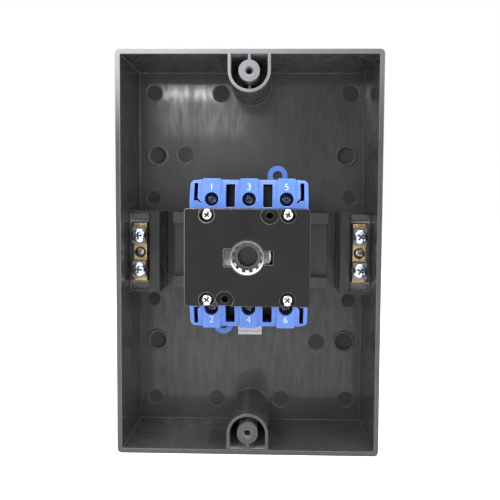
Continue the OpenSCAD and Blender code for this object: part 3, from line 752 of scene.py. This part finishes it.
class ScrewTree(NodeSheet):
    """Geometry Nodes tree that sets a domed cross-head screw on every point."""

    SIZES = (
        "Head Radius", "Head Height", "Dome", "Recess Length", "Recess Width", "Recess Depth",
        "Slot Length", "Slot Width", "Shank Radius", "Shank Length",
    )
    SIDES = 40
    RINGS = 24

    def __init__(self) -> None:
        """Builds the tree."""
        super().__init__(bpy.data.node_groups.new("screw_tree", "GeometryNodeTree"))
        face = self.tree.interface
        face.new_socket("Geometry", in_out="INPUT", socket_type="NodeSocketGeometry")
        self.sockets = {}
        kinds = {**dict.fromkeys(self.SIZES, "Float"), "Material": "Material"}
        for name, kind in kinds.items():
            item = face.new_socket(name, in_out="INPUT", socket_type=f"NodeSocket{kind}")
            self.sockets[name] = item.identifier
        face.new_socket("Geometry", in_out="OUTPUT", socket_type="NodeSocketGeometry")
        self.inlet = self.add("NodeGroupInput").outputs
        self.wire()

    def vector(self, x: Value, y: Value, z: Value) -> Socket:
        """Returns a vector of three values."""
        return self.add("ShaderNodeCombineXYZ", {"X": x, "Y": y, "Z": z}).outputs[0]

    def moved(self, shape: Socket, inputs: dict[str, Value]) -> Socket:
        """Returns a shape with a Translation, Rotation or Scale."""
        return self.add("GeometryNodeTransform", {"Geometry": shape, **inputs}).outputs["Geometry"]

    def lifted(self, shape: Socket, height: Value) -> Socket:
        """Returns a shape moved up along the screw."""
        return self.moved(shape, {"Translation": self.vector(0.0, 0.0, height)})

    def rod(self, radius: str, depth: Value) -> Socket:
        """Returns a round rod along Z about the origin."""
        inputs = {"Vertices": self.SIDES, "Radius": self.inlet[radius], "Depth": depth}
        return self.add("GeometryNodeMeshCylinder", inputs).outputs["Mesh"]

    def groove(self, length: str, width: str, depth: str, turn: float) -> Socket:
        """Adds a box that cuts a groove into the top of the head.

        Args:
            length: Name of the input with its length.
            width: Name of the input with its width.
            depth: Name of the input with its depth.
            turn: Its turn about the screw, in radians.

        Returns:
            The box.
        """
        double = self.product(self.inlet[depth], 2.0)
        size = self.vector(self.inlet[length], self.inlet[width], double)
        box = self.add("GeometryNodeMeshCube", {"Size": size}).outputs["Mesh"]
        return self.lifted(self.moved(box, {"Rotation": (0.0, 0.0, turn)}), self.inlet["Head Height"])

    def head(self) -> Socket:
        """Adds the domed head with its cross recess and slot.

        Returns:
            The head, with its underside at the origin.
        """
        height, dome = self.inlet["Head Height"], self.inlet["Dome"]
        ball = {"Segments": self.SIDES, "Rings": self.RINGS, "Radius": 1.0}
        ball = self.add("GeometryNodeMeshUVSphere", ball).outputs["Mesh"]
        head = self.add("GeometryNodeMeshBoolean", operation="INTERSECT", solver="EXACT")
        self.feed(head.inputs["Mesh 2"], self.moved(ball, {"Scale": self.vector(dome, dome, height)}))
        skirt = self.rod("Head Radius", self.product(height, 2.0))
        self.feed(head.inputs["Mesh 2"], self.lifted(skirt, height))
        cut = self.add("GeometryNodeMeshBoolean", operation="DIFFERENCE", solver="EXACT")
        self.feed(cut.inputs["Mesh 1"], head.outputs["Mesh"])
        recess = ("Recess Length", "Recess Width", "Recess Depth")
        slot = ("Slot Length", "Slot Width", "Slot Width")
        for names, turn in ((recess, 0.0), (recess, math.pi / 2), (slot, 0.0)):
            self.feed(cut.inputs["Mesh 2"], self.groove(*names, turn))
        return cut.outputs["Mesh"]

    def depth_share(self) -> Socket:
        """Adds how deep a point lies under the top of the head, as a share of its height.

        Returns:
            The share, 0 at the top and 1 at the underside.
        """
        spot = self.add("GeometryNodeInputPosition").outputs[0]
        level = self.add("ShaderNodeSeparateXYZ", {0: spot}).outputs["Z"]
        return self.remap(level, (self.inlet["Head Height"], 0.0), (0.0, 1.0), clamp=False)

    def wire(self) -> None:
        """Wires the tree from the points to the finished screws."""
        length = self.inlet["Shank Length"]
        shank = self.lifted(self.rod("Shank Radius", length), self.product(length, -0.5))
        screw = self.add("GeometryNodeJoinGeometry", {"Geometry": self.head()})
        self.feed(screw.inputs["Geometry"], shank)
        inputs = {"Geometry": screw.outputs[0], "Name": "sunk", "Value": self.depth_share()}
        marked = self.add("GeometryNodeStoreNamedAttribute", inputs, data_type="FLOAT", domain="POINT")
        facing = self.moved(marked.outputs["Geometry"], {"Rotation": (math.pi / 2, 0.0, 0.0)})
        spin = self.add("GeometryNodeInputNamedAttribute", {"Name": "spin"}, data_type="FLOAT")
        turn = self.vector(0.0, spin.outputs["Attribute"], 0.0)
        inputs = {"Points": self.inlet["Geometry"], "Instance": facing, "Rotation": turn}
        spread = self.add("GeometryNodeInstanceOnPoints", inputs)
        real = self.add("GeometryNodeRealizeInstances", {"Geometry": spread.outputs["Instances"]})
        inputs = {"Geometry": real.outputs["Geometry"], "Material": self.inlet["Material"]}
        paint = self.add("GeometryNodeSetMaterial", inputs)
        self.add("NodeGroupOutput", {"Geometry": paint.outputs["Geometry"]})


def spaced(start: float, end: float, count: int) -> list[float]:
    """Spreads places evenly.

    Args:
        start: First place.
        end: Last place.
        count: Number of places.

    Returns:
        The places, or the middle for a single one.
    """
    if count == 1:
        return [(start + end) / 2]
    return [start + (end - start) * i / (count - 1) for i in range(count)]


@dataclass
class ScrewSet:
    """A packed group of equal screws on a grid, rebuilt with domed heads and cross recesses.

    The spins turn the screws one by one, in degrees. The dome is wider than the head, so the head
    keeps a short side.
    """

    node: str
    columns: int
    rows: int
    spins: tuple[float, ...]
    head_radius: float
    head_height: float
    shank_radius: float
    recess: float
    recess_width: float
    slot: float = 0.0
    material_slot: str = "plated_steel"
    dome_share: float = 1.22
    recess_depth_share: float = 0.75
    slot_width_share: float = 0.8

    def seats(self) -> list[tuple[float, float, float]]:
        """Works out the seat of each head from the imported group's box.

        Returns:
            The seats, row by row from the top.
        """
        low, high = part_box(self.node)
        half = self.head_radius
        columns = spaced(low.x + half, high.x - half, self.columns)
        rows = spaced(high.z - half, low.z + half, self.rows)
        return [(x, low.y + self.head_height, z) for z in rows for x in columns]

    def sizes(self) -> dict[str, float]:
        """Returns the sizes of one screw, by the names of the tree's inputs."""
        low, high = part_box(self.node)
        return {
            "Head Radius": self.head_radius,
            "Head Height": self.head_height,
            "Dome": self.head_radius * self.dome_share,
            "Recess Length": self.recess,
            "Recess Width": self.recess_width,
            "Recess Depth": self.head_height * self.recess_depth_share,
            "Slot Length": max(self.slot, self.recess_width),
            "Slot Width": self.recess_width * self.slot_width_share,
            "Shank Radius": self.shank_radius,
            "Shank Length": (high.y - low.y) - self.head_height,
        }

    def build(self, tree: ScrewTree, material: bpy.types.Material) -> None:
        """Builds the screws as one piece.

        Args:
            tree: The Geometry Nodes tree.
            material: Finish of the screws.
        """
        points = bpy.data.meshes.new(f"{self.node}_points")
        points.from_pydata(self.seats(), [], [])
        spin = points.attributes.new("spin", "FLOAT", "POINT")
        spin.data.foreach_set("value", [math.radians(angle) for angle in self.spins])
        piece = new_piece(f"{self.node}_finished", points)
        screws = piece.modifiers.new("screws", "NODES")
        screws.node_group = tree.tree
        for name, value in {**self.sizes(), "Material": material}.items():
            screws[tree.sockets[name]] = value
        bake_modifiers(piece)
        finish_mesh(piece.data, material)
        stand_in(piece, Body.ENCLOSURE, self.material_slot, self.node)


@dataclass
class Enclosure:
    """Black base with its rail and the rail's screws."""

    edge: float = 0.3 * MM
    rail_edge: float = 0.18 * MM
    trough_ledge: Region = Region(span(53.2, 54.2), span(-27.6, -27.2), span(0, 19))
    core_mouth: Region = Region(span(40, 54.5), span(-0.5, 0.1), span(0, 18.6))

    def build(self, finishes: Finishes, tree: ScrewTree) -> None:
        """Builds the base, the rail and its screws.

        Args:
            finishes: All finishes.
            tree: Tree of the screws.
        """
        SoftPiece(
            "base", Body.ENCLOSURE, "enclosure_plastic", self.edge,
            narrow=(self.trough_ledge, self.core_mouth),
        ).build(finishes.enclosure)
        SoftPiece("mounting_rail", Body.ENCLOSURE, "rail_steel", self.rail_edge).build(finishes.rail)
        ScrewSet(
            "rail_screws", columns=2, rows=1, spins=(20.0, 55.0), head_radius=3.1 * MM,
            head_height=2.0 * MM, shank_radius=1.55 * MM, recess=3.4 * MM, recess_width=0.8 * MM,
        ).build(tree, finishes.zinc_head)


@dataclass
class TerminalBars:
    """Brass bars with their clamp screws, washers and fixing screws."""

    bar_edge: float = 0.3 * MM
    washer_edge: float = 0.16 * MM

    def build(self, finishes: Finishes, tree: ScrewTree) -> None:
        """Builds both bars and what is on them.

        Args:
            finishes: All finishes.
            tree: Tree of the screws.
        """
        for side in ("left", "right"):
            bar = SoftPiece(f"terminal_bar_{side}", Body.ENCLOSURE, "bar_brass", self.bar_edge)
            bar.build(finishes.brass)
        washers = SoftPiece("clamp_washers", Body.ENCLOSURE, "plated_steel", self.washer_edge)
        washers.build(finishes.zinc)
        ScrewSet(
            "clamp_screws", columns=2, rows=2, spins=(88.0, 40.0, 94.0, 35.0), head_radius=3.0 * MM,
            head_height=2.4 * MM, shank_radius=1.9 * MM, recess=3.4 * MM, recess_width=0.85 * MM,
            slot=6.4 * MM,
        ).build(tree, finishes.zinc_head)
        ScrewSet(
            "bar_fixing_screws", columns=2, rows=1, spins=(20.0, 55.0), head_radius=2.1 * MM,
            head_height=1.8 * MM, shank_radius=1.5 * MM, recess=2.4 * MM, recess_width=0.6 * MM,
        ).build(tree, finishes.zinc_head)


@dataclass
class SwitchBody:
    """Blue body with its white numbers, clamps and terminal screws."""

    edge: float = 0.22 * MM
    back: Region = Region(span(0, 60), span(-14, 0), span(0, 60))
    under_housing: Region = Region(span(0, 60), span(-38.4, -38), span(0, 19.8))
    number_height: float = 3.1 * MM
    number_height_share: float = 0.7
    number_thickness: float = 0.05 * MM
    number_thin: float = 0.06 * MM
    number_place: float = 28.9 * MM
    tower_knee: float = 23.0 * MM
    tower_front: float = 38.2 * MM
    tower_fall: float = 0.3
    pole_pitch: float = 16.2 * MM

    def number_mesh(self, word: str) -> bpy.types.Mesh:
        """Makes the mesh of one number, upright in the XY plane.

        Args:
            word: The number.

        Returns:
            The mesh.
        """
        curve = bpy.data.curves.new(f"number_{word}", "FONT")
        curve.body = word
        curve.size = self.number_height / self.number_height_share
        curve.align_x = "CENTER"
        curve.align_y = "CENTER"
        curve.extrude = self.number_thickness
        curve.offset = -self.number_thin
        text = new_piece(f"number_text_{word}", curve)
        mesh = baked(text)
        bpy.data.objects.remove(text)
        return mesh

    def number(self, word: str, column: int, row: int, material: bpy.types.Material) -> None:
        """Lays one printed number on the sloping face of its tower.

        Args:
            word: The number.
            column: Pole, from -1 to 1.
            row: 1 for the upper row, -1 for the lower.
            material: Its paint.
        """
        front = self.tower_front - (self.number_place - self.tower_knee) * self.tower_fall
        place = Vector((column * self.pole_pitch, -front, row * self.number_place))
        turn = Matrix.Rotation(math.pi / 2 - row * math.atan(self.tower_fall), 4, "X")
        mesh = self.number_mesh(word)
        mesh.transform(Matrix.Translation(place) @ turn)
        piece = new_piece(f"number_{word}", mesh)
        finish_mesh(mesh, material)
        stand_in(piece, Body.ENCLOSURE, "body_plastic")

    def build(self, finishes: Finishes, tree: ScrewTree) -> None:
        """Builds the body, its numbers and its terminals.

        Args:
            finishes: All finishes.
            tree: Tree of the screws.
        """
        SoftPiece(
            "switch_base", Body.ENCLOSURE, "body_plastic", self.edge,
            narrow=(self.back, self.under_housing),
        ).build(finishes.body)
        for row, words in ((1, "135"), (-1, "246")):
            for column, word in zip((-1, 0, 1), words):
                self.number(word, column, row, finishes.number)
        for side in ("line", "load"):
            ScrewSet(
                f"{side}_screws", columns=3, rows=1, spins=(25.0, 60.0, 5.0), head_radius=2.1 * MM,
                head_height=2.4 * MM, shank_radius=1.45 * MM, recess=2.5 * MM,
                recess_width=0.65 * MM, slot=4.4 * MM,
            ).build(tree, finishes.terminal)
            for pole in (1, 2, 3):
                dress(f"{side}_clamp_{pole}", finishes.clamp)
                dress(f"{side}_contact_{pole}", finishes.copper)


@dataclass
class Mechanism:
    """Black housing, rotor, bridge, springs, latch and moving contacts."""

    housing_edge: float = 0.25 * MM
    housing_inside: Region = Region(span(0, 22), span(-56.2, -38), span(0, 17.5))
    rotor_edge: float = 0.07 * MM
    latch_edge: float = 0.25 * MM

    def build(self, finishes: Finishes, tree: ScrewTree) -> None:
        """Builds the mechanism.

        Args:
            finishes: All finishes.
            tree: Tree of the screws.
        """
        SoftPiece(
            "switch_housing", Body.ENCLOSURE, "housing_plastic", self.housing_edge,
            narrow=(self.housing_inside,),
        ).build(finishes.housing)
        SoftPiece("rotor", Body.ROTOR, "rotor_plastic", self.rotor_edge).build(finishes.rotor)
        SoftPiece("rail_latch", Body.LATCH, "latch_plastic", self.latch_edge).build(finishes.latch)
        ScrewSet(
            "housing_screws", columns=2, rows=2, spins=(38.0, 32.0, 40.0, 48.0),
            head_radius=2.35 * MM, head_height=1.8 * MM, shank_radius=1.2 * MM, recess=2.5 * MM,
            recess_width=0.75 * MM, material_slot="nickel_screws",
        ).build(tree, finishes.nickel)
        for node in ("bearing_bridge", "detent_spring_upper", "detent_spring_lower", "latch_spring"):
            dress(node, finishes.spring)
        dress("contact_carriage", finishes.carriage)
        for pole in (1, 2, 3):
            dress(f"bridge_contact_{pole}", finishes.copper)
            dress(f"contact_spring_{pole}", finishes.spring)


@dataclass(frozen=True)
class Lamp:
    """One soft area lamp that points at the middle of the enclosure's back. Its power is in watts."""

    name: str
    place: tuple[float, float, float]
    width: float
    height: float
    power: float

    def build(self) -> None:
        """Builds the lamp."""
        data = bpy.data.lights.new(self.name, "AREA")
        data.shape = "RECTANGLE"
        data.size = self.width
        data.size_y = self.height
        data.energy = self.power
        lamp = new_piece(self.name, data)
        lamp.location = self.place
        aim = Vector() - Vector(self.place)
        lamp.rotation_euler = aim.to_track_quat("-Z", "Y").to_euler()
        log.info("%s gives %.2f W", self.name, self.power)


@dataclass
class Studio:
    """Pale floor, soft lamps, white world and the camera of the photograph.

    The camera's turn is in degrees, its lens and sensor are in millimetres.
    """

    camera_place: tuple[float, float, float] = (9.86 * MM, -350.38 * MM, 23.35 * MM)
    camera_turn: tuple[float, float, float] = (86.066, -0.315, 1.725)
    camera_clip: float = 10 * MM
    lens: float = 52.2
    sensor: float = 36.0
    floor_size: float = 6.0
    floor_colour: Colour = (0.9, 0.9, 0.9)
    floor_roughness: float = 0.9
    floor_glow: float = 0.5
    ambient: float = 0.7
    lamps: tuple[Lamp, ...] = (
        Lamp("window_lamp", (-0.09, -0.75, 0.155), width=0.12, height=0.07, power=0.17),
        Lamp("strip_lamp", (-0.112, -0.75, 0.181), width=0.08, height=0.011, power=0.16),
        Lamp("key_lamp", (-0.5, -0.75, 0.55), width=0.4, height=0.4, power=4.2),
        Lamp("fill_lamp", (0.55, -0.6, 0.2), width=0.3, height=0.5, power=2.5),
        Lamp("top_lamp", (0.0, -0.25, 0.8), width=0.6, height=0.4, power=8.0),
    )

    def white_world(self) -> None:
        """Makes the world white to the camera and to reflections, and softer as light."""
        world = bpy.data.worlds.new("studio_world")
        bpy.context.scene.world = world
        world.use_nodes = True
        sheet = NodeSheet(world.node_tree)
        light = sheet.remap(sheet.seen_directly(), (0.0, 1.0), (self.ambient, 1.0))
        sky = sheet.add("ShaderNodeBackground", {"Color": WHITE, "Strength": light})
        sheet.add("ShaderNodeOutputWorld", {"Surface": sky.outputs[0]})

    def floor(self) -> None:
        """Makes the pale floor that the enclosure stands on."""
        half = self.floor_size / 2
        level = CAD_BOX[0].z
        corners = [(-half, -half, level), (half, -half, level), (half, half, level), (-half, half, level)]
        mesh = bpy.data.meshes.new("studio_floor")
        mesh.from_pydata(corners, [], [tuple(range(len(corners)))])
        piece = new_piece("studio_floor", mesh)
        sheet = MaterialSheet("floor_white")
        mesh.materials.append(sheet.finish({
            "Base Color": (*self.floor_colour, 1.0),
            "Roughness": self.floor_roughness,
            "Specular IOR Level": 0.0,
            "Emission Color": WHITE,
            "Emission Strength": sheet.product(sheet.seen_directly(), self.floor_glow),
        }))

    def camera(self) -> None:
        """Sets the camera at the photograph's place."""
        data = bpy.data.cameras.new("camera")
        data.lens = self.lens
        data.sensor_width = self.sensor
        data.clip_start = self.camera_clip
        camera = new_piece("camera", data)
        camera.location = self.camera_place
        camera.rotation_euler = [math.radians(angle) for angle in self.camera_turn]
        bpy.context.scene.camera = camera

    def build(self) -> None:
        """Builds the whole studio."""
        bpy.context.scene.view_settings.view_transform = "Standard"
        self.camera()
        self.white_world()
        self.floor()
        for lamp in self.lamps:
            lamp.build()


def main() -> None:
    """Builds the studio and every sub-assembly in order."""
    logging.basicConfig(level=logging.INFO, format="%(name)s: %(message)s")
    Studio().build()
    finishes = Finishes()
    tree = ScrewTree()
    for part in (Enclosure(), TerminalBars(), SwitchBody(), Mechanism()):
        part.build(finishes, tree)


if __name__ == "__main__":
    main()
